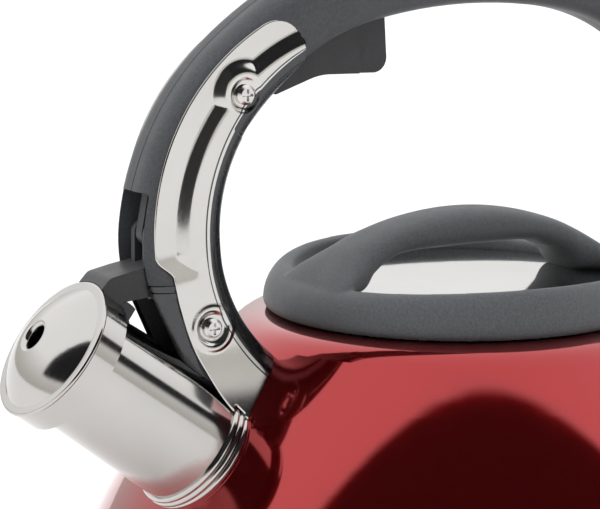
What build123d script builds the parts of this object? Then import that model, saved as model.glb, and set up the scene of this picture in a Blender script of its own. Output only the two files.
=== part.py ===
from build123d import *
import os
from math import asin, atan2, cos, degrees, hypot, radians, sin, sqrt

# Stovetop whistling kettle. Millimetres, +Z up, the spout points along -X.
# The origin is the centre of the base's resting face, on the body's own axis.
# The handle lies in the plane y = 0, and its two legs are mirror images about x = 0.

# ---------------------------------------------------------------- driving dimensions
WALL = 1.0                # sheet thickness of the body
LID_Z = 125.0             # plane of the lid ring's lower edge
RIM_Z = 125.2             # top of the body's rolled rim
NECK_R = 46.0             # radius of the opening under the lid
BELLY_R = 106.9           # widest radius of the body
BELLY_Z = 40.1            # height of the widest place
BELLY_ARC = 64.5          # radius of the belly's curve
FLANK_R = 260.0           # the shallow curve between the belly and the rim
RIM_R = 14.0              # the curve of the rim
RIM_CENTRE_R = 53.1       # how far that curve's centre is from the body's axis
SEAM_Z = 13.0             # joint between the coloured body and the steel base
BEAD = 0.8                # how far the seam's bead stands out
DISC_R = 82.0             # radius of the heat-spreading disc
DISC_THICK = 3.0

SPOUT_RISE = 36.2         # the spout axis's angle above the horizontal, degrees
SPOUT_FOOT = (-81.5, 0, 94.1)   # where the spout axis leaves the body
TUBE_R_LOW = 17.7         # spout tube radius above the collar
TUBE_R_TOP = 16.6         # spout tube radius at the mouth
TUBE_WALL = 0.8
TUBE_LEN = 51.0
COLLAR_LEN = 5.2
COLLAR_R = 19.0           # the beaded collar's largest radius
COLLAR_STEP = 0.25        # each bead is this much smaller than the one below it
CAP_R = 19.8              # outer radius of the cap's skirt
CAP_RIM = 46.4            # where the cap's skirt begins, along the spout
CAP_FACE = 54.6           # the cap's flat flange, along the spout
CAP_TOP = 61.0            # highest point of the cap's dome, along the spout
CAP_HOLE_R = 3.3
CAP_SHEET = 0.8

LEG_OUT = (-32.5, 148.6, 71.4)  # centre x, z and radius of the leg's outer curve
LEG_IN = (-32.7, 153.9, 46.0)   # the same for the leg's inner curve
SHOULDER_R = 63.0         # inner curve between the leg and the grip
GRIP_IN_R = 152.6         # inner curve of the grip
FOOT_BEND = (40.0, 30.7)  # radius and turn of the leg's front as it bends towards the foot
SHIN_LEN = 13.4           # straight stretch below that bend
FOOT_HEEL = (30.0, 15.8)  # radius and turn of the lower bend
SOLE_LEN = 21.0           # straight stretch that runs down into the body
GRIP_BOTTOM = 210.1       # lowest point of the grip's middle
GRIP_TOP = 232.0          # highest point of the handle
HALF_W = 9.7              # half the handle's width
BRACKET_HALF_W = 10.1     # half the width over the bracket's cheeks
BRACKET_SHEET = 1.0
FOOT_HALF_W = 15.0        # half the width of the bracket's flared foot
SHELL = 2.4               # wall of the moulded handle
CAVITY_W = 7.2            # half the width of the handle's hollow
BEAD_Z = 141.4            # top of the beaded ferrule
MOUTH_Z = 165.7           # top of the open channel in the front leg

TRIGGER_PIVOT = (-70.0, 196.0)
LEVER_PIVOT = (-96.5, 142.0)
DRIVE_PIN = (-96.5, 154.0)
PIN_R = 1.5
PIN_CLEARANCE = 0.06      # running clearance round a hinge pin
SCREWS = ((-73.3, 190.2), (-83.5, 129.0))
SCREW_HEAD_R = 2.7
SCREW_HEAD_H = 1.7
SCREW_R = 1.45
SCREW_LEN = 6.5           # length of a bracket screw's shank
BRACKET_ROUND = 6.5       # rounding of the bracket along the leg's inner line
FERRULE_SHEET = 0.9
ROUND_IN = 5.5            # rounding of the handle's long edges on the side of the fingers
ROUND_OUT = 7.0           # ... and on its outer side
PARTING = (0.15, 0.35)    # half the width and the depth of the groove where the handle's halves meet
BOSS_R = 3.6              # boss round a bracket screw
BEAD_OUT = 0.4            # how far the ferrule's beads stand out
CAVITY_IN = 3.4           # wall between the handle's inner line and its hollow
SLOT_X = (-66.0, -22.5)   # ends of the trigger's slot in the grip's underside
SLOT_HALF_W = 5.5
TRIGGER_PIN_HALF = 8.6    # half the length of the trigger's pin
LEVER_PIN_HALF = 8.4
DRIVE_PIN_R = 1.4
LEVER_HALF_W = 6.5
TAB_R = 17.15             # inner radius of the lever's tab, clear of the spout tube
LINER_R = 17.9            # inner radius of the liner pressed into the cap
PLATE_S = 52.1            # the whistle plate's lower face, along the spout
PLATE_Z = 133.4           # upper face of the lid's disc
LID_LOW = 125.5           # underside of the lid's ring
LID_BORE_R = 48.2         # radius of the seat that takes the disc
LID_LIP_R = 47.4          # radius of the opening above the disc
LID_CREST = (50.6, 137.5) # radius and height of the ring's highest line
SKIRT_R = 44.2            # outer radius of the skirt under the disc
STRAP_ROUND = 2.6         # rounding of the bridge's long edges
LID_SCREW_R = 1.2
LID_SCREWS = ((-38.5, -5.0), (-38.5, 5.0), (38.5, -5.0), (38.5, 5.0))
FAR = 400.0               # larger than the kettle in every direction


# ---------------------------------------------------------------- helpers
# Outlines are drawn flat, x across and y standing for height, and stand() raises them.
def stand(outline):
    """The face inside a closed outline, raised into the handle plane."""
    return Plane.XZ * make_face(outline)


def closed(*parts):
    """Joins lines end to start into one outline, with a straight line to close it."""
    lines = list(parts)
    if (lines[-1] @ 1 - lines[0] @ 0).length > 1e-4:
        lines.append(Line(lines[-1] @ 1, lines[0] @ 0))
    return Curve() + lines


def on_circle(centre, radius, angle):
    """A point of a circle, angle in degrees from +X towards +Z."""
    return (centre[0] + radius * cos(radians(angle)), centre[1] + radius * sin(radians(angle)))


def bearing(centre, point):
    """The angle, in degrees, at which a point is seen from a centre."""
    return degrees(atan2(point[1] - centre[1], point[0] - centre[0]))


def arc(centre, radius, start, end):
    """An arc of the given circle between two angles in degrees."""
    middle = (start + end) / 2
    return ThreePointArc(*[on_circle(centre, radius, angle) for angle in (start, middle, end)])


def meeting(first, first_r, second, second_r):
    """Where two circles cross, on the right-hand side going from the first to the second."""
    gap = (second - first).length
    along = (gap ** 2 + first_r ** 2 - second_r ** 2) / (2 * gap)
    aside = sqrt(first_r ** 2 - along ** 2)
    unit = (second - first).normalized()
    centre = first + unit * along + Vector(unit.Y, -unit.X) * aside
    return (centre.X, centre.Y)


def across(outline, half_width, shift=0.0):
    """A solid with the given outline, that reaches half_width each side of y = shift."""
    return Pos(0, shift, 0) * extrude(stand(outline), half_width, dir=(0, 1, 0), both=True)


def disc(point, radius, half_width, shift=0.0):
    """A round pin or hole across the handle, centred on y = shift."""
    return Pos(point[0], shift, point[1]) * Rot(90, 0, 0) * Cylinder(radius, 2 * half_width)


def box(low, high):
    """A box from its lowest corner to its highest."""
    size = [b - a for a, b in zip(low, high)]
    middle = [(a + b) / 2 for a, b in zip(low, high)]
    return Pos(*middle) * Box(*size)


def turned(points):
    """A solid of revolution about Z from straight (radius, height) points."""
    return revolve(stand(Polyline(*points, close=True)), Axis.Z)


def along_spout(solid):
    """Carries a solid built about Z, with its foot at the origin, onto the spout's axis."""
    direction = (-cos(radians(SPOUT_RISE)), 0, sin(radians(SPOUT_RISE)))
    return Plane(SPOUT_FOOT, x_dir=(0, 1, 0), z_dir=direction) * solid


def link(start, end, radius, half_width, shift=0.0):
    """A bar with round ends between two points of the handle plane."""
    length = hypot(end[0] - start[0], end[1] - start[1])
    middle = ((start[0] + end[0]) / 2, (start[1] + end[1]) / 2)
    web = Rot(0, -bearing(start, end), 0) * Box(length, 2 * half_width, 2 * radius)
    ends = disc(start, radius, half_width, shift) + disc(end, radius, half_width, shift)
    return Pos(middle[0], shift, middle[1]) * web + ends


def ring(r_in, r_out, low, high):
    """A plain ring about Z."""
    return turned([(r_in, low), (r_out, low), (r_out, high), (r_in, high)])


def cylinder_s(radius, low, high):
    """A plug about Z between two distances along the spout."""
    return Pos(0, 0, (low + high) / 2) * Cylinder(radius, high - low)


def save(shape, node):
    """Writes one node."""
    shape.label = node
    export_step(shape, f"parts/{node}.step")


# ---------------------------------------------------------------- body
def flank_centre():
    """The centre of the arc that touches both the rim's and the belly's arcs from outside."""
    rim = Vector(RIM_CENTRE_R, RIM_Z - RIM_R)
    belly = Vector(BELLY_R - BELLY_ARC, BELLY_Z)
    return meeting(rim, FLANK_R - RIM_R, belly, FLANK_R - BELLY_ARC)


def body_profile(inset=0.0):
    """The body's line from the neck down to the seam, moved in by a thickness."""
    roll = 3.5
    neck_r = NECK_R + inset
    rim_c = (RIM_CENTRE_R, RIM_Z - RIM_R)
    belly_c = (BELLY_R - BELLY_ARC, BELLY_Z)
    flank_c = flank_centre()
    rim_end = bearing(flank_c, rim_c)
    flank_end = bearing(flank_c, belly_c)
    seam_angle = -degrees(asin((BELLY_Z - SEAM_Z) / (BELLY_ARC - inset)))
    lip = arc((NECK_R + roll, RIM_Z - roll), roll - inset, 180, 90)
    rim = arc(rim_c, RIM_R - inset, 90, rim_end)
    flank = arc(flank_c, FLANK_R - inset, rim_end, flank_end)
    belly = arc(belly_c, BELLY_ARC - inset, flank_end, seam_angle)
    neck = Line((neck_r, RIM_Z - 9), lip @ 0)
    return [neck, lip, Line(lip @ 1, rim @ 0), rim, flank, belly]


def body_core(inset=0.0):
    """The body as one full solid, used to trim what stands on it."""
    lines = body_profile(inset)
    low = (lines[-1] @ 1).Y
    high = (lines[0] @ 0).Y
    lines.append(Polyline(lines[-1] @ 1, (0, low), (0, high), lines[0] @ 0))
    return revolve(Plane.XZ * make_face(Curve() + lines), Axis.Z)


def body_shell():
    outer = body_profile()
    inner = body_profile(WALL)
    lines = outer + inner
    lines.append(Line(outer[0] @ 0, inner[0] @ 0))
    lines.append(Line(outer[-1] @ 1, inner[-1] @ 1))
    return revolve(Plane.XZ * make_face(Curve() + lines), Axis.Z)


def base_pan():
    """The steel pan that closes the body from below, with a bead where it meets the body."""
    edge_r = BELLY_R - BELLY_ARC + sqrt(BELLY_ARC ** 2 - (BELLY_Z - SEAM_Z) ** 2)
    floor_r = edge_r - 12.5
    under = DISC_THICK
    outer = [Line((edge_r + BEAD, SEAM_Z), (edge_r + BEAD, SEAM_Z - 1.6))]
    outer.append(ThreePointArc(outer[-1] @ 1, (edge_r - 3.2, under + 3.0), (floor_r, under)))
    outer.append(Line(outer[-1] @ 1, (0, under)))
    outer.append(Line(outer[-1] @ 1, (0, under + WALL)))
    outer.append(Line(outer[-1] @ 1, (floor_r - 0.4, under + WALL)))
    outer.append(ThreePointArc(outer[-1] @ 1, (edge_r - 4.0, under + 3.8), (edge_r - WALL, SEAM_Z)))
    return revolve(stand(closed(*outer)), Axis.Z)


def base_disc():
    """The thick disc under the pan that spreads the heat and stands on the hob."""
    chamfer_w = 1.0
    return turned([(0, 0), (DISC_R - chamfer_w, 0), (DISC_R, chamfer_w), (DISC_R, DISC_THICK), (0, DISC_THICK)])


# ---------------------------------------------------------------- spout
def cone_between(r_low, r_high, low, high):
    """A tapered plug about Z."""
    return turned([(0, low), (r_low, low), (r_high, high), (0, high)])


def tube_radius(s):
    """The spout tube's outer radius at a distance along the spout."""
    return TUBE_R_LOW + (TUBE_R_TOP - TUBE_R_LOW) * (s - COLLAR_LEN) / (TUBE_LEN - COLLAR_LEN)


def spout_outer(clearance=0.0):
    root = -16.0
    return along_spout(cone_between(tube_radius(root) + clearance, TUBE_R_TOP + clearance, root, TUBE_LEN))


def spout_bore():
    root = -20.0
    top = TUBE_LEN + 1.0
    return along_spout(cone_between(tube_radius(root) - TUBE_WALL, TUBE_R_TOP - TUBE_WALL, root, top))


def spout_tube():
    lip_r = TUBE_R_TOP + 0.5
    lip = along_spout(turned([(TUBE_R_TOP - TUBE_WALL, TUBE_LEN - 1.2), (lip_r, TUBE_LEN - 1.2),
                              (lip_r, TUBE_LEN - 0.3), (lip_r - 0.3, TUBE_LEN),
                              (TUBE_R_TOP - TUBE_WALL, TUBE_LEN)]))
    return spout_outer() + lip - spout_bore() - body_core(WALL)


def spout_room():
    """What the front leg leaves free for the tube and its collar."""
    return spout_outer(0.1) + along_spout(cylinder_s(COLLAR_R + 0.3, -12, COLLAR_LEN + 0.1))


def spout_collar():
    """The beaded ring that hides the joint between the tube and the body."""
    beads = 3
    pitch = COLLAR_LEN / beads
    inner = 16.0
    root = -9.0
    line = [Line((inner, root), (COLLAR_R, root)), Line((COLLAR_R, root), (COLLAR_R, 0))]
    for i in range(beads):
        step = COLLAR_R - i * COLLAR_STEP
        low = i * pitch
        line.append(ThreePointArc((step, low), (step + 0.2, low + pitch / 2), (step - 0.35, low + pitch)))
        if i < beads - 1:
            line.append(Line(line[-1] @ 1, (COLLAR_R - (i + 1) * COLLAR_STEP, low + pitch)))
    line.append(Line(line[-1] @ 1, (inner, COLLAR_LEN)))
    ring = along_spout(revolve(stand(closed(*line)), Axis.Z))
    return ring - spout_outer() - body_core()


# ---------------------------------------------------------------- handle outlines
def shoulder_centre():
    """The centre of the arc that touches both the leg's and the grip's inner arcs."""
    leg = Vector(LEG_IN[0], LEG_IN[1])
    grip = Vector(0, GRIP_BOTTOM - GRIP_IN_R)
    return meeting(grip, GRIP_IN_R - SHOULDER_R, leg, SHOULDER_R - LEG_IN[2])


def handle_half(inset_out=0.0, inset_in=0.0):
    """Half the handle's outline, left of x = 0, moved in from its outer and inner lines."""
    grip_c = (0, GRIP_BOTTOM - GRIP_IN_R)
    shoulder_c = shoulder_centre()
    leg_c = LEG_IN[:2]
    leg_to_shoulder = bearing(shoulder_c, leg_c)
    shoulder_to_grip = bearing(grip_c, shoulder_c)
    foot_angle = 232.0
    leg = arc(leg_c, LEG_IN[2] + inset_in, foot_angle, leg_to_shoulder)
    shoulder = arc(shoulder_c, SHOULDER_R + inset_in, leg_to_shoulder, shoulder_to_grip)
    grip = arc(grip_c, GRIP_IN_R + inset_in, shoulder_to_grip, 90)

    out_c = LEG_OUT[:2]
    rise = GRIP_TOP - LEG_OUT[1]
    top_r = (LEG_OUT[0] ** 2 + rise ** 2 - LEG_OUT[2] ** 2) / (2 * (rise - LEG_OUT[2]))
    top_c = (0, GRIP_TOP - top_r)
    turn = bearing(top_c, out_c)
    knee = 174
    top = arc(top_c, top_r - inset_out, 90, turn)
    leg_out = arc(out_c, LEG_OUT[2] - inset_out, turn, knee)
    heading = (cos(radians(knee + 90)), sin(radians(knee + 90)))
    bend = JernArc(leg_out @ 1, heading, FOOT_BEND[0] - inset_out, FOOT_BEND[1])
    shin = Line(bend @ 1, bend @ 1 + (bend % 1) * SHIN_LEN)
    heel = JernArc(shin @ 1, shin % 1, FOOT_HEEL[0] - inset_out, FOOT_HEEL[1])
    sole = Line(heel @ 1, heel @ 1 + (heel % 1) * SOLE_LEN)
    return closed(leg, shoulder, grip, Line(grip @ 1, top @ 0), top, leg_out, bend, shin, heel, sole)


def both_legs(outline, half_width):
    """A solid of half an outline together with its mirror image about x = 0."""
    left = across(outline, half_width)
    return left + mirror(left, Plane.YZ)


def is_inner(point):
    """Whether a point on the handle's side lies on the inner line rather than the outer one."""
    return (point.X / 88) ** 2 + ((point.Z - 130) / 90) ** 2 < 1


def long_edges(solid, half_width, inner):
    """The handle's edges between a side face and its inner or outer surface."""
    found = []
    for edge in solid.edges().filter_by(GeomType.CIRCLE):
        middle = edge @ 0.5
        if abs(abs(middle.Y) - half_width) < 0.01 and is_inner(middle) == inner:
            found.append(edge)
    return found


def handle_blank(half_width, inset_out, inset_in, round_in, round_out):
    """A full handle bar: both legs and the grip, with rounded long edges."""
    bar = both_legs(handle_half(inset_out, inset_in), half_width)
    bar = fillet(long_edges(bar, half_width, True), round_in)
    return fillet(long_edges(bar, half_width, False), round_out)


# ---------------------------------------------------------------- brackets and ferrules
def bracket_outline(margin=0.0):
    """The cheek of the front bracket: round at the top, stepped in above the foot."""
    back_c = (-39.1, 154.2)
    tip_c = (-63.3, 200.3)
    back = arc(back_c, 60.7 + margin, 183, 118)
    tip_start = bearing(tip_c, ((back @ 1).X, (back @ 1).Y))
    tip = arc(tip_c, hypot((back @ 1).X - tip_c[0], (back @ 1).Y - tip_c[1]), tip_start, 8)
    nose = ThreePointArc(tip @ 1, (-54.75 + margin, 199.0), (-56.8 + margin, 196.5))
    throat = Line(nose @ 1, (-74 + margin, 179.3))
    low = FilletPolyline((-66, 176), (-40, 160), (-40, 100), (-78, 100), (-78.5 - margin, 106),
                         (-86.8 - margin, 119.0), (-92.6 - margin, 134.0), (-94.8 - margin, 143.6),
                         (-98.6 - margin, 146.5), back @ 0, radius=1.5)
    return closed(back, tip, nose, throat, Line(throat @ 1, low @ 0), low)


def front_view_limit(half_width):
    """Everything between the bracket's cheeks, which flare outwards at the foot."""
    flare_top = 134.0
    flare_low = 104.0
    spread = FOOT_HALF_W - BRACKET_HALF_W
    radius = ((flare_top - flare_low) ** 2 + spread ** 2) / (2 * spread)
    middle_z = (flare_top + flare_low) / 2
    bulge = radius - sqrt(radius ** 2 - (flare_top - middle_z) ** 2)
    high, low = 240, 90
    flare = ThreePointArc((half_width, flare_top), (half_width + bulge, middle_z),
                          (half_width + spread, flare_low))
    below = Polyline(flare @ 1, (half_width + spread, low), (0, low), (0, high), (half_width, high))
    face = Plane.YZ * make_face(closed(flare, below))
    half = extrude(face, 130, both=True)
    return half + mirror(half, Plane.XZ)


def flared_leg(half_width, inset_in, round_in):
    """The left leg as the bracket sees it, wide at the foot, round along its inner line."""
    leg = across(handle_half(0.0, inset_in), FOOT_HALF_W + 1) & front_view_limit(half_width)
    chosen = []
    for edge in leg.edges():
        middle = edge @ 0.5
        on_line = abs(hypot(middle.X - LEG_IN[0], middle.Z - LEG_IN[1]) - LEG_IN[2] - inset_in) < 0.02
        if on_line and abs(middle.Y) > half_width - 0.5:
            chosen.append(edge)
    return fillet(chosen, round_in)


def bracket_inside():
    """The space inside the front bracket's sheet."""
    return flared_leg(BRACKET_HALF_W - BRACKET_SHEET, BRACKET_SHEET, BRACKET_ROUND - BRACKET_SHEET)


def front_bracket():
    """Bent sheet round the inner side of the leg, notched for the trigger and the spout."""
    sheet = flared_leg(BRACKET_HALF_W, 0.0, BRACKET_ROUND) - bracket_inside()
    sheet = (sheet & across(bracket_outline(), FAR)) - body_core() - spout_room() - screw_shanks()
    sheet -= box((-80, -SLOT_HALF_W, 183), (-50, SLOT_HALF_W, 200))
    for side in (-1, 1):
        sheet -= disc(SCREWS[1], SCREW_HEAD_R + 0.6, 2.0, side * (BRACKET_HALF_W + 2.0))
    return sheet


def bracket_recess():
    """What the bracket takes away from the moulded leg, with a thin gap along its edge."""
    return across(bracket_outline(0.2), HALF_W + 5) - bracket_inside()


def screw(centre, side):
    """A pan-head screw through one cheek, side is -1 or 1."""
    head_y = BRACKET_HALF_W
    head = turned([(0, 0), (SCREW_HEAD_R, 0), (SCREW_HEAD_R, 0.9), (SCREW_HEAD_R - 0.8, SCREW_HEAD_H),
                   (0, SCREW_HEAD_H)])
    cross = Box(0.7, 3.2, 1.6) + Box(3.2, 0.7, 1.6)
    head -= Pos(0, 0, SCREW_HEAD_H) * cross
    shank = Pos(0, 0, -SCREW_LEN / 2) * Cylinder(SCREW_R, SCREW_LEN)
    return Pos(centre[0], side * head_y, centre[1]) * Rot(-90 * side, 0, 0) * (head + shank)


def screw_shanks():
    """The plain holes for the four screws of the front bracket."""
    low, high = [disc(centre, SCREW_R, FAR / 2) for centre in SCREWS]
    return low + high


def ferrule_inside():
    """The moulded leg where it is stepped in to take the ferrule."""
    return handle_blank(HALF_W - FERRULE_SHEET, FERRULE_SHEET, 0, ROUND_IN, ROUND_OUT - FERRULE_SHEET)


def ferrule_zone(top):
    """Below a height and in front of the front bracket."""
    return box((-200, -20, 60), (-60, 20, top)) - across(bracket_outline(0.2), 30)


def ferrule(blank, inside, open_half_width):
    """The polished sleeve round the front leg's foot, with two beads along its top."""
    skin = blank & ferrule_zone(BEAD_Z)
    for i in range(2):
        low = BEAD_Z - 1.5 - 1.9 * i
        rib = both_legs(handle_half(-BEAD_OUT, 0), HALF_W + BEAD_OUT)
        rib = fillet(long_edges(rib, HALF_W + BEAD_OUT, False), ROUND_OUT + BEAD_OUT)
        skin += rib & box((-200, -20, low), (-60, 20, low + 1.3)) & ferrule_zone(BEAD_Z)
    skin -= inside
    if open_half_width:
        skin -= box((-200, -open_half_width, 60), (-60, open_half_width, FAR))
    return skin - body_core() - spout_room()


# ---------------------------------------------------------------- moulded handle
def pin_boss(point, radius, inner_y):
    """A boss on each wall of the hollow, from the wall in to |y| = inner_y."""
    depth = (CAVITY_W - inner_y) / 2 + 0.1
    middle = inner_y + depth
    return disc(point, radius, depth, middle) + disc(point, radius, depth, -middle)


def handle_body(blank, inside):
    """The moulded handle before it is split into two halves."""
    solid = blank - handle_blank(CAVITY_W, SHELL, CAVITY_IN, 1.0, ROUND_OUT - SHELL)
    screw_bosses = pin_boss(SCREWS[0], BOSS_R, 3.4) + pin_boss(SCREWS[1], BOSS_R, 3.4)
    solid += pin_boss(TRIGGER_PIVOT, 3.2, 3.0) + screw_bosses + mirror(screw_bosses, Plane.YZ)
    mouth = box((-200, -CAVITY_W, 60), (-88, CAVITY_W, MOUTH_Z))
    mouth = fillet(mouth.edges().filter_by(Axis.X).sort_by(Axis.Z)[-2:], 1.2)
    toe = box((-200, -CAVITY_W, 60), (-70, CAVITY_W, 120)) & across(handle_half(-5, CAVITY_IN), CAVITY_W)
    solid -= mouth + toe
    floor = across(handle_half(8.0, -3.0), SLOT_HALF_W)
    solid -= floor & box((SLOT_X[0], -SLOT_HALF_W, 180), (SLOT_X[1], SLOT_HALF_W, 216))
    step = (ferrule_zone(BEAD_Z) - inside) + bracket_recess()
    solid -= step
    solid -= mirror(step, Plane.YZ)
    holes = screw_shanks()
    solid -= holes + mirror(holes, Plane.YZ)
    solid -= disc(TRIGGER_PIVOT, PIN_R, TRIGGER_PIN_HALF) + disc(LEVER_PIVOT, PIN_R, LEVER_PIN_HALF)
    return solid - parting_groove() - body_core() - spout_room()


def parting_groove():
    """The fine line round the handle where its two halves meet."""
    half_w, depth = PARTING
    return both_legs(handle_half(-1, -1), half_w) - both_legs(handle_half(depth, depth), half_w)


def half_of(solid, side):
    """The part of a solid on one side of the handle plane."""
    return solid & box((-FAR, min(0, side * 50), -FAR), (FAR, max(0, side * 50), FAR))


# ---------------------------------------------------------------- trigger
def trigger():
    """The squeeze trigger: a paddle under the grip and an arm down inside the front leg."""
    corners = ((-66.5, 192.5), (-61.2, 188.8), (-47.4, 193.4), (-25.4, 192.6), (-26.4, 209.5),
               (-40, 207.5), (-58, 201.5), (-68, 199.5))
    paddle_line = FilletPolyline(*corners, radius=(1.2, 18.0, 4.0, 1.2, 1.2, 1.2))
    paddle = across(closed(paddle_line), 5.0)
    tab_x = -35
    narrow = box((tab_x, 3.6, 180), (0, 6, 220))
    paddle -= narrow + mirror(narrow, Plane.XZ)
    paddle -= disc(TRIGGER_PIVOT, 4.2, 6)
    knee = (-86, 181)
    shin = (-94, 167)
    arm = link(TRIGGER_PIVOT, knee, 3.2, 1.6) + link(knee, shin, 3.2, 1.6) + link(shin, DRIVE_PIN, 3.2, 1.6)
    neck = link(TRIGGER_PIVOT, (-62, 196), 3.6, 2.6)
    solid = paddle + neck + disc(TRIGGER_PIVOT, 4.5, 2.6) + arm
    return solid - disc(TRIGGER_PIVOT, PIN_R + PIN_CLEARANCE, 10) - disc(DRIVE_PIN, DRIVE_PIN_R, 10)


# ---------------------------------------------------------------- cap and its lever
def cap_shell():
    """The spun cap: a skirt, a flat flange and a dome with a rolled-in whistle hole."""
    flange_in_r = CAP_R - 2.2
    top_r = CAP_HOLE_R + 1.4
    rim = 1.2
    outer = [Line((CAP_R, CAP_RIM), (CAP_R, CAP_FACE - rim))]
    outer.append(ThreePointArc(outer[-1] @ 1, (CAP_R + 0.3, CAP_FACE - rim / 2), (CAP_R - 0.4, CAP_FACE)))
    outer.append(Line(outer[-1] @ 1, (flange_in_r, CAP_FACE)))
    dome_mid = on_dome((flange_in_r + top_r) / 2)
    outer.append(ThreePointArc(outer[-1] @ 1, dome_mid, (top_r, CAP_TOP)))
    outer.append(ThreePointArc(outer[-1] @ 1, (CAP_HOLE_R + 0.4, CAP_TOP - 0.5), (CAP_HOLE_R, CAP_TOP - 1.6)))
    outer.append(Line(outer[-1] @ 1, (CAP_HOLE_R + CAP_SHEET, CAP_TOP - 1.6)))
    under_mid = (dome_mid[0], dome_mid[1] - CAP_SHEET)
    outer.append(ThreePointArc(outer[-1] @ 1, under_mid, (flange_in_r, CAP_FACE - CAP_SHEET)))
    outer.append(Line(outer[-1] @ 1, (CAP_R - CAP_SHEET, CAP_FACE - CAP_SHEET)))
    outer.append(Line(outer[-1] @ 1, (CAP_R - CAP_SHEET, CAP_RIM)))
    return along_spout(revolve(stand(closed(*outer)), Axis.Z))


def on_dome(radius):
    """A point of the cap's dome at a radius from the spout's axis."""
    share = radius / (CAP_R - 2.2)
    return (radius, CAP_FACE + (CAP_TOP - CAP_FACE) * (1 - share ** 2) + 0.3)


def whistle_plate():
    """The drilled disc under the dome that makes the whistle."""
    return along_spout(ring(2.4, CAP_R - CAP_SHEET, PLATE_S, PLATE_S + 0.8))


def cap_seal():
    """The soft ring that closes the spout's mouth."""
    return along_spout(ring(15.0, 17.5, TUBE_LEN + 0.3, PLATE_S))


def cap_lever():
    """The moulded arm that carries the cap, with its hub and the fork the trigger drives."""
    top = ((-96.5, 138.6), (-96.5, 147.0), (-105.0, 145.6), (-111.5, 144.3), (-115.4, 140.2))
    under = ((-107.0, 131.0), (-105.8, 131.5), (-107.6, 137.6))
    arm_line = FilletPolyline(*top, *under, radius=(1.0, 6.0, 3.0, 0.5, 0.2, 1.0))
    arm = across(closed(arm_line), LEVER_HALF_W)
    arm -= along_spout(cylinder_s(CAP_R, CAP_RIM, FAR) + cylinder_s(TAB_R, -20, FAR))
    arm -= along_spout(cylinder_s(CAP_R + 0.4, CAP_FACE - 1.3, FAR))
    tab = (ring(TAB_R, 21.0, CAP_RIM - 3.7, CAP_RIM)
           + ring(TAB_R, CAP_R - CAP_SHEET, CAP_RIM, CAP_RIM + 2.6))
    tab = along_spout(tab) & box((-200, -LEVER_HALF_W, 125), (-90, LEVER_HALF_W, 200))
    liner = along_spout(ring(LINER_R, CAP_R - CAP_SHEET, CAP_RIM + 1.1, PLATE_S))
    hub = disc(LEVER_PIVOT, 5.0, 4.65, -1.65)
    solid = arm + tab + liner + hub - disc(LEVER_PIVOT, 4.6, 2.0, 5.1)
    for side in (-1, 1):
        solid += fork_ear(side * 3.2)
    solid -= disc(LEVER_PIVOT, 3.9, 1.0, 4.05)
    return solid - disc(LEVER_PIVOT, PIN_R + PIN_CLEARANCE, 20)


def fork_ear(shift):
    """One side of the slotted fork that takes the drive pin."""
    ear = link(LEVER_PIVOT, DRIVE_PIN, 3.3, 1.0, shift)
    slot_low = (LEVER_PIVOT[0], LEVER_PIVOT[1] + 10.5)
    slot_high = (LEVER_PIVOT[0], LEVER_PIVOT[1] + 12.1)
    return ear - link(slot_low, slot_high, 1.7, 1.2, shift)


def cap_spring():
    """The torsion spring round the lever's pin, with two short legs."""
    wire = 0.4
    coil_r = 3.0
    low, high = 3.8, 6.4
    x, z = LEVER_PIVOT
    turns = 2.75
    helix = Helix(pitch=(high - low) / turns, height=high - low, radius=coil_r)
    coil = sweep(Plane(helix @ 0, z_dir=helix % 0) * Circle(wire), path=helix)
    coil = Pos(x, high, z) * Rot(90, 0, 0) * coil
    leg_low = Pos(x + coil_r, high, z - 3.5) * Cylinder(wire, 7)
    leg_high = Pos(x - coil_r, low, z - 1.4) * Cylinder(wire, 2.8)
    return coil + leg_low + leg_high


# ---------------------------------------------------------------- lid
def strap_outline():
    """Half the lid's bridge seen from the side: an arch with a hollow under it for the fingers."""
    top_c = (0, 65.3)
    top = arc(top_c, 88.0, 90, 90 - 19.9)
    drop = JernArc(top @ 1, top % 1, 44.4, -31.4)
    seat = (35.0, PLATE_Z)
    floor = Polyline(drop @ 1, (46.5, PLATE_Z), seat)
    inner_end = (28.0, 141.6)
    shoulder = ThreePointArc(seat, (32.6, 138.4), inner_end)
    finger_hollow = (16.5, 146.0)
    low = Spline(inner_end, finger_hollow, (0, 145.2), tangents=((-0.8, 0.6), (-1, 0)))
    return closed(top, drop, floor, shoulder, low)


def strap_plan():
    """The bridge seen from above: narrow in the middle, flared at both roots."""
    half_w = 9.0
    flare_x = 22.0
    end_x = 52.0
    flare_r = 40.0
    end_w = half_w + flare_r - sqrt(flare_r ** 2 - (end_x - flare_x) ** 2)
    mid_x = (flare_x + end_x) / 2
    mid_w = half_w + flare_r - sqrt(flare_r ** 2 - (mid_x - flare_x) ** 2)
    line = [Line((0, half_w), (flare_x, half_w))]
    line.append(ThreePointArc((flare_x, half_w), (mid_x, mid_w), (end_x, end_w)))
    line.append(Line((end_x, end_w), (end_x, 0)))
    quarter = extrude(make_face(closed(*line, Line((end_x, 0), (0, 0)))), FAR, both=True)
    half = quarter + mirror(quarter, Plane.XZ)
    return half + mirror(half, Plane.YZ)


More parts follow.
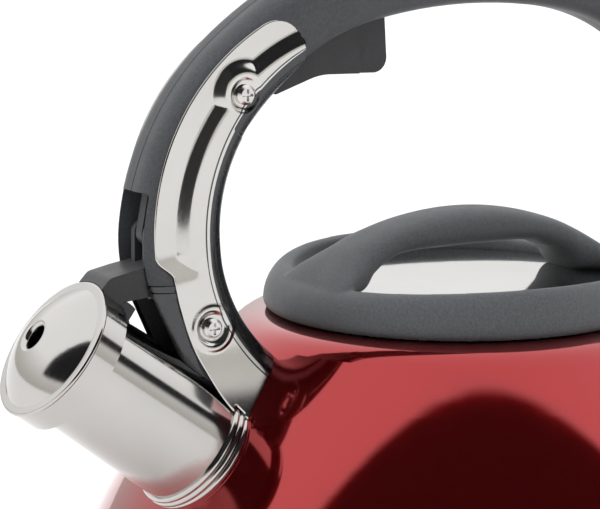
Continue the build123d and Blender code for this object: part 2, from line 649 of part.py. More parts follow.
def lid_ring():
    """The lid's moulded ring and the bridge that serves as its handle, in one piece."""
    foot_r = 53.4
    edge = (54.0, LID_LOW + 0.8)
    lip = (LID_LIP_R, LID_CREST[1] - 1.8)
    line = [Line((LID_BORE_R, LID_LOW), (foot_r, LID_LOW)), Line((foot_r, LID_LOW), edge)]
    line.append(ThreePointArc(edge, (53.0, 132.6), LID_CREST))
    line.append(ThreePointArc(LID_CREST, (48.6, LID_CREST[1] - 0.1), lip))
    line.append(Line(lip, (LID_LIP_R, PLATE_Z)))
    line.append(Line((LID_LIP_R, PLATE_Z), (LID_BORE_R, PLATE_Z)))
    band = revolve(stand(closed(*line)), Axis.Z)
    half = across(strap_outline(), 30)
    strap = (half + mirror(half, Plane.YZ)) & strap_plan()
    strap = fillet(strap_edges(strap), STRAP_ROUND)
    solid = band + strap
    for centre in LID_SCREWS:
        solid -= Pos(centre[0], centre[1], PLATE_Z + 2) * Cylinder(LID_SCREW_R, 5)
    return solid


def strap_edges(strap):
    """The bridge's long edges, where its flanks meet its upper and lower surfaces."""
    return [edge for edge in strap.edges() if abs((edge @ 0.5).Y) > 8.9 and (edge @ 0.5).Z > PLATE_Z + 1.1]


def lid_plate():
    """The polished disc inside the ring."""
    plate = ring(0, LID_BORE_R, PLATE_Z - 0.8, PLATE_Z)
    for centre in LID_SCREWS:
        plate -= Pos(centre[0], centre[1], PLATE_Z) * Cylinder(LID_SCREW_R, 5)
    return plate


def lid_screw(centre):
    """A pan-head screw up through the plate into the bridge's root."""
    head_h = 1.5
    shank = Pos(0, 0, 2.25 + PLATE_Z) * Cylinder(LID_SCREW_R, 4.5)
    shank += Pos(0, 0, PLATE_Z - 0.4) * Cylinder(LID_SCREW_R, 0.8)
    head = Pos(0, 0, PLATE_Z - 0.8 - head_h / 2) * Cylinder(2.5, head_h)
    return Pos(centre[0], centre[1], 0) * (shank + head)


# ---------------------------------------------------------------- build
os.makedirs("parts", exist_ok=True)

save(body_shell() - spout_outer(), "body_shell")
save(base_pan(), "base_pan")
save(base_disc(), "base_disc")
save(spout_tube(), "spout_tube")
save(spout_collar(), "spout_collar")

bracket = front_bracket()
save(bracket, "front_bracket")
save(mirror(bracket, Plane.YZ), "rear_bracket")

blank = handle_blank(HALF_W, 0, 0, ROUND_IN, ROUND_OUT)
inside = ferrule_inside()
sleeve = ferrule(blank, inside, CAVITY_W + 0.1)
save(half_of(sleeve, -1), "front_ferrule_left")
save(half_of(sleeve, 1), "front_ferrule_right")
save(mirror(ferrule(blank, inside, 0), Plane.YZ), "rear_ferrule")
moulding = handle_body(blank, inside)
save(half_of(moulding, -1), "handle_left_shell")
save(half_of(moulding, 1), "handle_right_shell")

for name, height in (("upper", 0), ("lower", 1)):
    for side, sign in (("left", -1), ("right", 1)):
        piece = screw(SCREWS[height], sign)
        save(piece, f"front_{name}_{side}_screw")
        save(mirror(piece, Plane.YZ), f"rear_{name}_{side}_screw")

save(disc(TRIGGER_PIVOT, PIN_R, TRIGGER_PIN_HALF), "trigger_pin")
save(disc(LEVER_PIVOT, PIN_R, LEVER_PIN_HALF), "lever_pin")
save(cap_spring(), "cap_spring")
save(trigger(), "trigger")
save(disc(DRIVE_PIN, DRIVE_PIN_R, 4.4), "drive_pin")

save(cap_lever(), "cap_lever")
save(cap_shell(), "cap_shell")
save(whistle_plate(), "whistle_plate")
save(cap_seal(), "cap_seal")

save(lid_ring(), "lid_ring")
save(lid_plate(), "lid_plate")
save(ring(SKIRT_R - 1, SKIRT_R, 116.5, PLATE_Z - 0.8), "lid_skirt")
save(ring(SKIRT_R, NECK_R - 0.3, 118.5, 122.5), "lid_gasket")
for i, centre in enumerate(LID_SCREWS):
    save(lid_screw(centre), f"lid_screw_{i + 1}")
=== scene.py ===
from math import asin, cos, degrees, hypot, pi, radians, sin, sqrt

import bmesh
import bpy
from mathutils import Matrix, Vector


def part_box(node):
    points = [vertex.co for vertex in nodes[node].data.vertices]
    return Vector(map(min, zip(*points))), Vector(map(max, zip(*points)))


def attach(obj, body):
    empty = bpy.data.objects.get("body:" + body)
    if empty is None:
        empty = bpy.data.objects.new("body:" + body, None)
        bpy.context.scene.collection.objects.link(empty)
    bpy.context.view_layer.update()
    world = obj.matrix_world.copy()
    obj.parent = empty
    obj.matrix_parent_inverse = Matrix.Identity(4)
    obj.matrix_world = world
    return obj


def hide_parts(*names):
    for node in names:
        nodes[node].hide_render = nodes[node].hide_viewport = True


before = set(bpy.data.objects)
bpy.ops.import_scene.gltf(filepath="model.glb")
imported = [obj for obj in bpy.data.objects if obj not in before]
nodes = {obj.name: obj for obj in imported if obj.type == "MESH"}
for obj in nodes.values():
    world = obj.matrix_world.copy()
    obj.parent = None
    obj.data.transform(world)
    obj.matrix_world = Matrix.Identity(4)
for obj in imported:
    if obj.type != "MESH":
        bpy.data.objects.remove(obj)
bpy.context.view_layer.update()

MM = 0.001


# ---------------------------------------------------------------- material helpers
class Shader:
    """A material's node tree with short names for the nodes used here."""

    def __init__(self, name):
        self.material = bpy.data.materials.new(name)
        self.material.use_nodes = True
        self.tree = self.material.node_tree
        self.surface = self.tree.nodes["Principled BSDF"]
        self.place = self.tree.nodes.new("ShaderNodeTexCoord").outputs["Object"]

    def add(self, kind, **settings):
        node = self.tree.nodes.new(kind)
        for key, value in settings.items():
            setattr(node, key, value)
        return node

    def join(self, source, target):
        self.tree.links.new(source, target)

    def set(self, **values):
        for key, value in values.items():
            self.surface.inputs[key.replace("_", " ")].default_value = value

    def stretched(self, scale):
        """Object coordinates scaled differently along each axis."""
        mapping = self.add("ShaderNodeMapping")
        mapping.inputs["Scale"].default_value = scale
        self.join(self.place, mapping.inputs["Vector"])
        return mapping.outputs["Vector"]

    def noise(self, scale, detail=3.0, rough=0.5, vector=None):
        node = self.add("ShaderNodeTexNoise")
        node.inputs["Scale"].default_value = scale
        node.inputs["Detail"].default_value = detail
        node.inputs["Roughness"].default_value = rough
        self.join(vector or self.place, node.inputs["Vector"])
        return node.outputs["Fac"]

    def ramp(self, source, *stops):
        """Maps a value through (position, grey or colour) stops."""
        node = self.add("ShaderNodeValToRGB")
        while len(node.color_ramp.elements) < len(stops):
            node.color_ramp.elements.new(0.5)
        for element, (position, value) in zip(node.color_ramp.elements, stops):
            element.position = position
            element.color = (*value, 1) if isinstance(value, tuple) else (value, value, value, 1)
        self.join(source, node.inputs["Fac"])
        return node.outputs["Color"]

    def bump(self, source, strength, distance, after=None):
        node = self.add("ShaderNodeBump")
        node.inputs["Strength"].default_value = strength
        node.inputs["Distance"].default_value = distance
        self.join(source, node.inputs["Height"])
        if after:
            self.join(after, node.inputs["Normal"])
        return node.outputs["Normal"]

    def link(self, source, name):
        self.join(source, self.surface.inputs[name])


def lacquer():
    """Candy-red lacquer over polished steel, under a clear coat."""
    m = Shader("red_lacquer")
    m.set(Metallic=0.92, Coat_Weight=1.0, Coat_Roughness=0.02, Coat_IOR=1.5)
    cloud = m.noise(9.0, 2.0)
    m.link(m.ramp(cloud, (0.3, (0.36, 0.010, 0.012)), (0.7, (0.42, 0.014, 0.016))), "Base Color")
    flake = m.noise(2600.0, 1.0)
    m.link(m.bump(flake, 0.04, 0.00002), "Normal")
    m.link(m.ramp(m.noise(60.0), (0.35, 0.07), (0.65, 0.10)), "Roughness")
    return m.material


def polished(name, colour, rough, scale=(1, 1, 1), streaks=900.0, strength=0.05):
    """Polished steel with faint polishing lines along one direction."""
    m = Shader(name)
    m.set(Metallic=1.0)
    tone = m.noise(35.0, 2.0)
    dark = tuple(c * 0.93 for c in colour)
    m.link(m.ramp(tone, (0.3, dark), (0.7, colour)), "Base Color")
    lines = m.noise(streaks, 2.0, 0.6, m.stretched(scale))
    m.link(m.ramp(lines, (0.35, rough * 0.8), (0.65, rough * 1.25)), "Roughness")
    m.link(m.bump(lines, strength, 0.00002), "Normal")
    return m.material


def soft_touch(name, light, dark, rough=0.55, grain=2300.0, depth=0.00006):
    """Moulded plastic with a soft-touch skin: fine grain and a slightly mottled tone."""
    m = Shader(name)
    m.set(Sheen_Weight=0.15, Sheen_Roughness=0.5, Specular_IOR_Level=0.4)
    mottled = m.noise(1500.0, 4.0, 0.7)
    m.link(m.ramp(mottled, (0.32, dark), (0.68, light)), "Base Color")
    fine = m.noise(grain, 3.0, 0.6)
    m.link(m.bump(fine, 0.35, depth), "Normal")
    m.link(m.ramp(m.noise(160.0), (0.3, rough - 0.05), (0.7, rough + 0.06)), "Roughness")
    return m.material


def rubber(name):
    """Matt dark rubber."""
    m = Shader(name)
    m.link(m.ramp(m.noise(200.0), (0.3, 0.012), (0.7, 0.022)), "Base Color")
    m.link(m.bump(m.noise(1500.0), 0.3, 0.00005), "Normal")
    m.set(Roughness=0.7)
    return m.material


def assign(material, *names):
    """Gives CAD nodes a material."""
    for name in names:
        mesh = nodes[name].data
        mesh.materials.clear()
        mesh.materials.append(material)


# ---------------------------------------------------------------- materials on the CAD nodes
TUBE_STEEL = (0.575, 0.56, 0.535)
# darker steel that stands in for a reflection: painted dark reflection on the brackets' crease and inner
# faces and on the ferrules
DARK_REFLECTION_STEEL = (0.085, 0.086, 0.090)
BRACKET_STEEL = (0.67, 0.655, 0.625)
PLAIN_STEEL = (0.62, 0.62, 0.61)
SCREW_STEEL = (0.70, 0.69, 0.67)
MIRROR_STEEL = (0.88, 0.88, 0.87)
HANDLE_GREY = (0.078, 0.081, 0.087), (0.046, 0.048, 0.053)      # light and dark tone of each plastic
LID_GREY = (0.110, 0.116, 0.122), (0.070, 0.075, 0.080)
LEVER_GREY = (0.036, 0.037, 0.040), (0.024, 0.025, 0.027)

steel_body = polished("polished_steel", TUBE_STEEL, 0.10, (1, 1, 12))
steel_painted_reflection = polished("painted_reflection_steel", DARK_REFLECTION_STEEL, 0.22)
steel_bracket = polished("bracket_steel", BRACKET_STEEL, 0.14, (14, 1, 1), 700.0, 0.08)
steel_plain = polished("plain_steel", PLAIN_STEEL, 0.28)
steel_screw = polished("screw_steel", SCREW_STEEL, 0.20)
mirror_steel = polished("mirror_steel", MIRROR_STEEL, 0.05)
dark_grey = soft_touch("handle_soft_touch", *HANDLE_GREY)
lid_grey = soft_touch("lid_soft_touch", *LID_GREY, 0.6, 1700.0, 0.0001)
lever_grey = soft_touch("lever_plastic", *LEVER_GREY, 0.42, 2600.0, 0.00003)

assign(lacquer(), "body_shell")
assign(steel_body, "base_pan", "spout_tube", "spout_collar", "cap_shell")
assign(steel_bracket, "front_bracket", "rear_bracket")
# the ferrules' dark steel is a painted dark reflection
assign(steel_painted_reflection, "front_ferrule_left", "front_ferrule_right", "rear_ferrule")
assign(steel_plain, "base_disc", "trigger_pin", "lever_pin", "drive_pin", "whistle_plate", "lid_skirt",
       "cap_spring")
assign(mirror_steel, "lid_plate")
assign(dark_grey, "handle_left_shell", "handle_right_shell")
assign(lid_grey, "lid_ring")
assign(lever_grey, "cap_lever", "trigger")
assign(rubber("silicone"), "cap_seal", "lid_gasket")
assign(steel_screw, *[name for name in nodes if "screw" in name])


# ---------------------------------------------------------------- mesh helpers
def lerp(a, b, share):
    """The value a share of the way from a to b."""
    return a + (b - a) * share


def smooth(value, low, high):
    """0 below low, 1 above high, an S-curve between; low may be the larger."""
    share = min(1.0, max(0.0, (value - low) / (high - low)))
    return share * share * (3 - 2 * share)


def through(points, x):
    """A smooth curve through a few (x, value) points in order of x."""
    if x <= points[0][0]:
        return points[0][1]
    for (x0, v0), (x1, v1) in zip(points, points[1:]):
        if x <= x1:
            return lerp(v0, v1, smooth(x, x0, x1) * 0.5 + (x - x0) / (x1 - x0) * 0.5)
    return points[-1][1]


def mesh_piece(name, points, faces, material):
    """A mesh object from points in millimetres."""
    mesh = bpy.data.meshes.new(name)
    mesh.from_pydata([[c * MM for c in point] for point in points], [], faces)
    mesh.materials.append(material)
    mesh.validate()
    piece = bpy.data.objects.new(name, mesh)
    bpy.context.collection.objects.link(piece)
    return piece


def modify(piece, kind, **settings):
    """Adds a modifier and applies it."""
    modifier = piece.modifiers.new(kind.lower(), kind)
    for key, value in settings.items():
        setattr(modifier, key, value)
    bpy.context.view_layer.objects.active = piece
    for other in bpy.context.selected_objects:
        other.select_set(False)
    piece.select_set(True)
    bpy.ops.object.modifier_apply(modifier=modifier.name)


def shade_smooth(piece):
    """Smooth shading on every face."""
    for face in piece.data.polygons:
        face.use_smooth = True


def hull_of(*names):
    """A closed convex solid round some CAD nodes, to cut with."""
    solid = bmesh.new()
    for name in names:
        for vertex in nodes[name].data.vertices:
            solid.verts.new(vertex.co)
    bmesh.ops.convex_hull(solid, input=solid.verts)
    loose = [vertex for vertex in solid.verts if not vertex.link_faces]
    bmesh.ops.delete(solid, geom=loose, context="VERTS")
    bmesh.ops.recalc_face_normals(solid, faces=solid.faces)
    mesh = bpy.data.meshes.new("cutter")
    solid.to_mesh(mesh)
    solid.free()
    cutter = bpy.data.objects.new("cutter", mesh)
    bpy.context.collection.objects.link(cutter)
    return cutter


def cut(piece, cutter):
    """Takes the cutter's space out of the piece, and drops the cutter."""
    modify(piece, "BOOLEAN", operation="DIFFERENCE", solver="EXACT", object=cutter)
    bpy.data.objects.remove(cutter)


# ---------------------------------------------------------------- pressed steel brackets
LEG_C = (-32.7, 153.9)          # the leg's inner curve in the handle plane, centre and radius
LEG_R = 46.0
BACK_C = (-39.1, 154.2)         # the bracket's outer edge, centre and radius
BACK_R = 60.7
TIP_R = 8.65                    # the bracket's round top
TIP_RHO, TIP_ANGLE = 55.6, 123.4
FOOT_ANGLE = 232.0
FOOT_EDGE = ((185.0, 67.0), (189.4, 62.9), (198.4, 63.1), (212.8, 64.4), (226.3, 66.3), (232.0, 67.2))
BEND_R = 6.5                    # the bend between a cheek and the web
RIDGE_Y = 10.9                  # the raised strip's height over the handle plane
FLANGE_Y = 9.25                 # the lower outer band's height
FLANGE_W = 5.6                  # the lower band's width, and the slope's between band and strip
SLOPE_W = 4.5
SEAT_Y = 10.1                   # floor of the pressed pockets under the screw heads
SCREWS = ((-73.3, 190.2), (-83.5, 129.0))
UPPER_BOSS = (9.6, 5.6)         # raised round the upper screw: radius at its foot and at its top
LOWER_BOSS = (6.6, 5.6)
POCKET = (4.9, 3.6)             # radius of a screw's pocket at its rim and at its floor
STEP_ENDS = (183.0, 193.0)      # the angles between which strip and band run into one flat
FOOT_DROP = 0.35                # that flat's depth under the strip
THROAT_ANGLE = 148.4            # the web begins here; above it the sheet's end is a straight line
THROAT = 66.7
FLARE_TOP = 134.0               # the foot spreads from here down, along an arc
FLARE_R = 94.3
FLARE_DEPTH = 34.0
SHEET = 0.9
ACROSS = 44                     # faces across a cheek and its bend
WEB_FACES = 6
CREASE = 32                     # the face where the bend begins; the row before it and the steel inside it are darker, a painted dark reflection
ROWS = 216                      # rows of faces along the leg, below the round top
SPOUT_FOOT = (-81.5, 0, 94.1)   # where the spout's axis starts, and how steeply it rises
SPOUT_RISE = 36.2
COLLAR_SPACE = 19.3             # radius kept free for the collar, as far out along the axis as COLLAR_END
COLLAR_END = 5.4
TUBE_SPACE = 17.9


def outer_rho(angle):
    """Distance from the leg's centre to the bracket's outer edge."""
    if angle > FOOT_EDGE[0][0]:
        return through(FOOT_EDGE, angle)
    turn = radians(angle)
    gap = (LEG_C[0] - BACK_C[0], LEG_C[1] - BACK_C[1])
    along = gap[0] * cos(turn) + gap[1] * sin(turn)
    return -along + sqrt(along ** 2 - gap[0] ** 2 - gap[1] ** 2 + BACK_R ** 2)


def inner_rho(angle):
    """Distance to the sheet's inner end: it is cut along a straight line above the web."""
    turn = radians(angle)
    throat = THROAT / (sin(turn) - cos(turn)) if angle < THROAT_ANGLE else LEG_R
    return max(LEG_R, throat)


def flare(z):
    """How far the foot spreads sideways."""
    drop = max(0.0, FLARE_TOP - z)
    return FLARE_R - sqrt(FLARE_R ** 2 - min(drop, FLARE_DEPTH) ** 2)


def cheek_y(angle, rho):
    """A point of the left cheek: its place in the handle plane, and half the bracket's width there."""
    turn = radians(angle)
    x = LEG_C[0] + rho * cos(turn)
    z = LEG_C[1] + rho * sin(turn)
    shelf = outer_rho(angle) - FLANGE_W
    up = smooth(rho, shelf, shelf - SLOPE_W)
    calm = smooth(angle, *STEP_ENDS)
    aways = [hypot(x - sx, z - sz) for sx, sz in SCREWS]
    up = max(up, smooth(aways[0], *UPPER_BOSS))
    y = lerp(FLANGE_Y, RIDGE_Y, up)
    y = lerp(y, RIDGE_Y - FOOT_DROP, calm)
    y = lerp(y, RIDGE_Y, smooth(aways[1], *LOWER_BOSS))
    for away in aways:
        y = lerp(y, SEAT_Y, smooth(away, *POCKET))
    return x, y + flare(z), z


def bracket_row(angle):
    """One row of the left cheek, from its outer edge to its inner end."""
    ahead = TIP_ANGLE - angle
    outer, inner = outer_rho(angle), inner_rho(angle)
    if ahead > 0:
        reach = sqrt(max(0.04, TIP_R ** 2 - (radians(ahead) * TIP_RHO) ** 2))
        outer = TIP_RHO + reach
        inner = max(inner, TIP_RHO - reach)
    bend = LEG_R + BEND_R
    row = []
    for i in range(ACROSS + 1):
        share = i / ACROSS
        if outer <= bend or inner >= bend:
            rho = lerp(outer, inner, share)
            row.append(cheek_y(angle, rho))
            continue
        if i <= CREASE:
            row.append(cheek_y(angle, lerp(outer, bend, i / CREASE)))
            continue
        end = asin(min(1.0, (bend - inner) / BEND_R))
        phi = end * (i - CREASE) / (ACROSS - CREASE)
        rho = bend - BEND_R * sin(phi)
        x, y, z = cheek_y(angle, max(rho, LEG_R + 0.4))
        turn = radians(angle)
        row.append((LEG_C[0] + rho * cos(turn), y - BEND_R * (1 - cos(phi)), LEG_C[1] + rho * sin(turn)))
    return row


def in_spout(point):
    """Whether a point lies in the space of the spout's tube or collar."""
    rise = radians(SPOUT_RISE)
    x, y, z = abs(point[0]) + SPOUT_FOOT[0], point[1], point[2] - SPOUT_FOOT[2]
    along = x * cos(rise) + z * sin(rise)
    away = hypot(x * sin(rise) - z * cos(rise), y)
    return away < (COLLAR_SPACE if along < COLLAR_END else TUBE_SPACE)


def bracket_angles():
    """The rows' angles: close together round the top, then even down to the foot."""
    steep = degrees(TIP_R / TIP_RHO)
    angles = [TIP_ANGLE - steep * cos(radians(turn)) for turn in range(3, 90, 4)]
    return angles + [lerp(TIP_ANGLE, FOOT_ANGLE, i / ROWS) for i in range(ROWS + 1)]


def bracket_points(angles, side):
    """All rows, each from the right cheek's outer edge over the web to the left one's."""
    points = []
    for angle in angles:
        left = bracket_row(angle)
        x, y, z = left[-1]
        row = [(x, -y, z) for x, y, z in left]
        row += [(x, lerp(-y, y, i / WEB_FACES), z) for i in range(1, WEB_FACES)]
        row += left[::-1]
        points += [(side * x, y, z) for x, y, z in row]
    return points


def bracket_faces(points, angles, side):
    """The faces that stay, leaving out the trigger's slot and the spout, and which of them get the darker
    steel of a painted dark reflection.
    """
    width = 2 * (ACROSS + 1) + WEB_FACES - 1
    faces, painted_dark_faces = [], []
    for r in range(len(angles) - 1):
        for c in range(width - 1):
            on_web = ACROSS <= c < ACROSS + WEB_FACES
            if on_web and angles[r] < THROAT_ANGLE:
                continue
            a = r * width + c
            quad = (a, a + 1, a + width + 1, a + width)
            if any(in_spout(points[corner]) for corner in quad):
                continue
            faces.append(quad if side > 0 else quad[::-1])
            column = min(c, width - 2 - c)
            painted_dark_faces.append(column == CREASE - 1 or column > CREASE)
    return faces, painted_dark_faces


def clean_mesh(piece, drop_loose):
    """Turns the faces one way, and drops the points that no face uses."""
    shape = bmesh.new()
    shape.from_mesh(piece.data)
    if drop_loose:
        loose = [vertex for vertex in shape.verts if not vertex.link_faces]
        bmesh.ops.delete(shape, geom=loose, context="VERTS")
    bmesh.ops.recalc_face_normals(shape, faces=shape.faces)
    shape.to_mesh(piece.data)
    shape.free()


def bracket(name, node, side):
    """One bracket: two cheeks and, below the trigger's slot, the web that joins them."""
    angles = bracket_angles()
    points = bracket_points(angles, side)
    faces, painted_dark_faces = bracket_faces(points, angles, side)
    piece = mesh_piece(name, points, faces, steel_bracket)
    # the second steel is darker: painted dark reflection on a line along the crease and on the inner faces
    piece.data.materials.append(steel_painted_reflection)
    for face, dark in zip(piece.data.polygons, painted_dark_faces):
        face.material_index = int(dark)
    clean_mesh(piece, True)
    modify(piece, "SOLIDIFY", thickness=SHEET * MM, offset=-1.0, use_even_offset=False)
    cut(piece, hull_of("body_shell"))
    shade_smooth(piece)
    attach(piece, "kettle")
    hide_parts(node)


bracket("front_bracket_pressed", "front_bracket", 1)
bracket("rear_bracket_pressed", "rear_bracket", -1)


# ---------------------------------------------------------------- lid ring and bridge
RING_LOW, RING_HIGH = [corner / MM for corner in (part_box("lid_ring")[0][2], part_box("lid_ring")[1][2])]
RING_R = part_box("lid_ring")[1][0] / MM
PLATE_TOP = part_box("lid_plate")[1][2] / MM
CREST_IN = (7.6, 3.6)           # the crest's distance inside the ring's edge, by the bridge and at the sides
CREST_UP = (10.4, 13.3)         # its height over the ring's underside, at the same two places
BORE_IN = 2.4                   # from the crest to the bore
EDGE_UP = 2.2                   # where the outer round ends, over the underside
ROUND_STEPS = 8
SINK = 0.6                      # how far the ring reaches below the plate's top

CROWN_R = 88.0                  # the bridge's top line: a flat arc, then a tighter one down to the ring
ROOT_FROM = 29.95
ROOT_R = 44.4
ROOT_X = 14.84
ROOT_DROP = 47.0
BRIDGE_W = 9.0                  # half the bridge's width in its middle and at its roots
ROOT_W = 15.5
WIDEN_FROM = 22.0
WIDEN_R = 40.0
THINNEST = 2.5
CORNERS = 2.5                   # the section's exponent: 2 is an ellipse, more is squarer
SECTION_POINTS = 32
BRIDGE_END = 49
VOXEL = 0.55


def ring_section(angle):
    """The ring's section: fuller at its sides, lower where the bridge grows out of it."""
    side = sin(radians(angle)) ** 2
    crest_r = lerp(RING_R - CREST_IN[0], RING_R - CREST_IN[1], side)
    crest_z = lerp(RING_LOW + CREST_UP[0], RING_LOW + CREST_UP[1], side)
    bore = crest_r - BORE_IN
    line = [(bore, PLATE_TOP - SINK), (bore, crest_z - 1.6), (bore + 0.6, crest_z - 0.5), (crest_r, crest_z)]
    edge_z = RING_LOW + EDGE_UP
    for i in range(1, ROUND_STEPS + 1):
        turn = radians(90 - 90 * i / ROUND_STEPS)
        line.append((crest_r + (RING_R - crest_r) * cos(turn), edge_z + (crest_z - edge_z) * sin(turn)))
    line += [(RING_R - 0.5, RING_LOW + 0.7), (RING_R - 2.2, RING_LOW)]
    line += [(RING_R - 5.6, RING_LOW), (RING_R - 5.6, PLATE_TOP - SINK)]
    return line


BRIDGE_UNDER = ((0, 142.9), (8, 142.8), (16.5, 142.8), (22, 142.3), (28, 140.0), (32.5, 137.0), (35.5, 132.6),
                (60, 132.6))


def bridge_section(x):
    """A rounded section of the bridge across the handle plane."""
    span = abs(x)
    crown = RING_HIGH - CROWN_R + sqrt(CROWN_R ** 2 - span ** 2)
    if span > ROOT_FROM:
        crown = RING_HIGH - ROOT_DROP + sqrt(ROOT_R ** 2 - (span - ROOT_X) ** 2)
    under = min(through(BRIDGE_UNDER, span), crown - THINNEST)
    half_w = BRIDGE_W + WIDEN_R - sqrt(WIDEN_R ** 2 - max(0.0, span - WIDEN_FROM) ** 2)
    half_w = min(half_w, ROOT_W)
    middle, half_h = (crown + under) / 2, (crown - under) / 2
    section = []
    for i in range(SECTION_POINTS):
        turn = 2 * pi * i / SECTION_POINTS
        c, s = cos(turn), sin(turn)
        power = 2 / CORNERS
        section.append((x, half_w * abs(c) ** power * (1 if c > 0 else -1),
                        middle + half_h * abs(s) ** power * (1 if s > 0 else -1)))
    return section


def lofted(rows, ring):
    """Points and faces of a skin over rows of points: a ring, or a bar with closed ends."""
    count, width = len(rows), len(rows[0])
    faces = []
    for r in range(count if ring else count - 1):
        for c in range(width):
            low, high = r * width, (r + 1) % count * width
            faces.append((low + c, low + (c + 1) % width, high + (c + 1) % width, high + c))
    if not ring:
        faces.append(tuple(range(width))[::-1])
        faces.append(tuple((count - 1) * width + c for c in range(width)))
    return [point for row in rows for point in row], faces


def lid_top():
    """Ring and bridge moulded in one piece, the bridge's roots blended into the ring."""
    rows = []
    for angle in range(0, 360, 3):
        turn = radians(angle)
        rows.append([(r * cos(turn), r * sin(turn), z) for r, z in ring_section(angle)])
    points, faces = lofted(rows, True)
    sections = [bridge_section(x) for x in range(-BRIDGE_END, BRIDGE_END + 1)]
    bridge_points, bridge_faces = lofted(sections, False)
    start = len(points)
    points += bridge_points
    faces += [tuple(start + i for i in face) for face in bridge_faces]
    piece = mesh_piece("lid_top", points, faces, lid_grey)
    clean_mesh(piece, False)
    modify(piece, "REMESH", mode="VOXEL", voxel_size=VOXEL * MM, adaptivity=0.0)
    modify(piece, "SMOOTH", factor=0.5, iterations=12)
    shade_smooth(piece)
    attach(piece, "lid")
    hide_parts("lid_ring")


lid_top()


# ---------------------------------------------------------------- floor, light, camera
DARK_SIDE = (-0.365, -0.860, -0.358)      # the dark side of the tent is where a direction leans this way
DARK_FROM = (0.17, 0.24)                  # ... and higher than this
WALL = (0.60, 0.585, 0.55)
CEILING = (1.22, 1.22, 1.24)
DARK = (0.020, 0.020, 0.022)
CEILING_FROM = 0.45                       # the height of a direction where the wall has become ceiling
EDGE_BLUR = 0.02                          # softness of the dark side's edge
SUN_ENERGY = 1.8
SUN_ANGLE = 75
SUN_TURN = (20, -14, 0)
FRONT_FLAG = (-0.62, -1.02), (1.15, 1.3), -30       # place, size and turn of each card
SIDE_FLAG = (0.86, 0.40), (1.1, 0.34), 65
CARD_GAP = 0.01                           # a card's height over the floor
CAMERA_PLACE = (-0.48095, -0.73063, 0.29379)
CAMERA_TURN = 30.42
CAMERA_DIP = 10.07
LENS = 191.1
SHIFT = (0.0071, 0.0060)


def floor():
    """A wide pale floor."""
    bpy.ops.mesh.primitive_grid_add(x_subdivisions=2, y_subdivisions=2, size=30)
    plane = bpy.context.object
    plane.name = "floor"
    m = Shader("pale_floor")
    m.link(m.ramp(m.noise(3.0), (0.3, 0.86), (0.7, 0.88)), "Base Color")
    m.set(Roughness=0.6)
    plane.data.materials.append(m.material)


def sky_mask(tree, direction):
    """1 in the dark part of the room: above and behind the camera's side, over a pale lower wall."""
    facing = tree.nodes.new("ShaderNodeVectorMath")
    facing.operation = "DOT_PRODUCT"
    facing.inputs[1].default_value = DARK_SIDE
    tree.links.new(direction, facing.inputs[0])
    parts = tree.nodes.new("ShaderNodeSeparateXYZ")
    tree.links.new(direction, parts.inputs[0])
    edges = []
    limits = ((facing.outputs["Value"], -EDGE_BLUR, EDGE_BLUR), (parts.outputs["Z"], *DARK_FROM))
    for value, low, high in limits:
        edge = tree.nodes.new("ShaderNodeMapRange")
        edge.interpolation_type = "SMOOTHSTEP"
        edge.inputs["From Min"].default_value = low
        edge.inputs["From Max"].default_value = high
        tree.links.new(value, edge.inputs["Value"])
        edges.append(edge.outputs["Result"])
    both = tree.nodes.new("ShaderNodeMath")
    both.operation = "MULTIPLY"
    for edge, socket in zip(edges, both.inputs):
        tree.links.new(edge, socket)
    return both.outputs["Value"], parts.outputs["Z"]


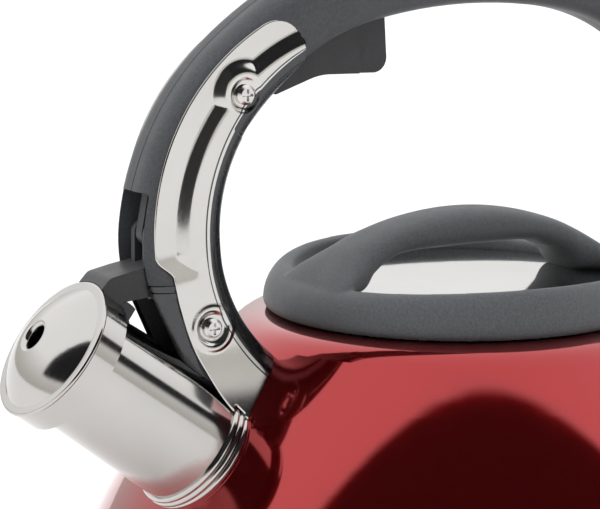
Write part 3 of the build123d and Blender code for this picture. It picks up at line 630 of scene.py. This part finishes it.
def studio():
    """A white tent with one dark side, and a broad soft light from above."""
    world = bpy.data.worlds.new("studio")
    bpy.context.scene.world = world
    world.use_nodes = True
    tree = world.node_tree
    direction = tree.nodes.new("ShaderNodeTexCoord").outputs["Generated"]
    mask, height = sky_mask(tree, direction)
    wall = tree.nodes.new("ShaderNodeValToRGB")
    stops = ((0.0, WALL), (CEILING_FROM, CEILING))
    for element, (position, colour) in zip(wall.color_ramp.elements, stops):
        element.position = position
        element.color = (*colour, 1)
    tree.links.new(height, wall.inputs["Fac"])
    mix = tree.nodes.new("ShaderNodeMix")
    mix.data_type = "RGBA"
    tree.links.new(mask, mix.inputs["Factor"])
    tree.links.new(wall.outputs["Color"], mix.inputs["A"])
    mix.inputs["B"].default_value = (*DARK, 1)
    tree.links.new(mix.outputs["Result"], tree.nodes["Background"].inputs["Color"])
    tree.nodes["Background"].inputs["Strength"].default_value = 1.0

    sun = bpy.data.lights.new("overhead", "SUN")
    sun.energy = SUN_ENERGY
    sun.angle = radians(SUN_ANGLE)
    lamp = bpy.data.objects.new("overhead", sun)
    bpy.context.collection.objects.link(lamp)
    lamp.rotation_euler = [radians(turn) for turn in SUN_TURN]
    lamp.visible_glossy = False


def flag(name, place, size, turn):
    """A dark card that stands on the floor, seen only in reflections."""
    bpy.ops.mesh.primitive_grid_add(x_subdivisions=2, y_subdivisions=2, size=1)
    card = bpy.context.object
    card.name = name
    card.scale = (*size, 1)
    card.location = (*place, size[1] / 2 + CARD_GAP)
    card.rotation_euler = (radians(90), 0, radians(turn))
    m = Shader(name)
    m.link(m.ramp(m.noise(3.0), (0.3, 0.010), (0.7, 0.016)), "Base Color")
    m.set(Roughness=0.9)
    card.data.materials.append(m.material)
    card.visible_camera = False
    card.visible_diffuse = False
    card.visible_shadow = False


def camera():
    """Looks down at the kettle from the spout's side of its front, with a long lens."""
    data = bpy.data.cameras.new("camera")
    data.sensor_width = 36
    data.lens = LENS
    data.shift_x, data.shift_y = SHIFT
    data.clip_start = 0.05
    data.clip_end = 60
    turn = radians(CAMERA_TURN)
    dip = radians(CAMERA_DIP)
    ahead = Vector((sin(turn) * cos(dip), cos(turn) * cos(dip), -sin(dip)))
    cam = bpy.data.objects.new("camera", data)
    bpy.context.collection.objects.link(cam)
    cam.location = CAMERA_PLACE
    cam.rotation_mode = "QUATERNION"
    cam.rotation_quaternion = ahead.to_track_quat("-Z", "Y")
    bpy.context.scene.camera = cam


floor()
studio()
flag("front_flag", *FRONT_FLAG)
flag("side_flag", *SIDE_FLAG)
camera()
bpy.context.scene.view_settings.view_transform = "Standard"
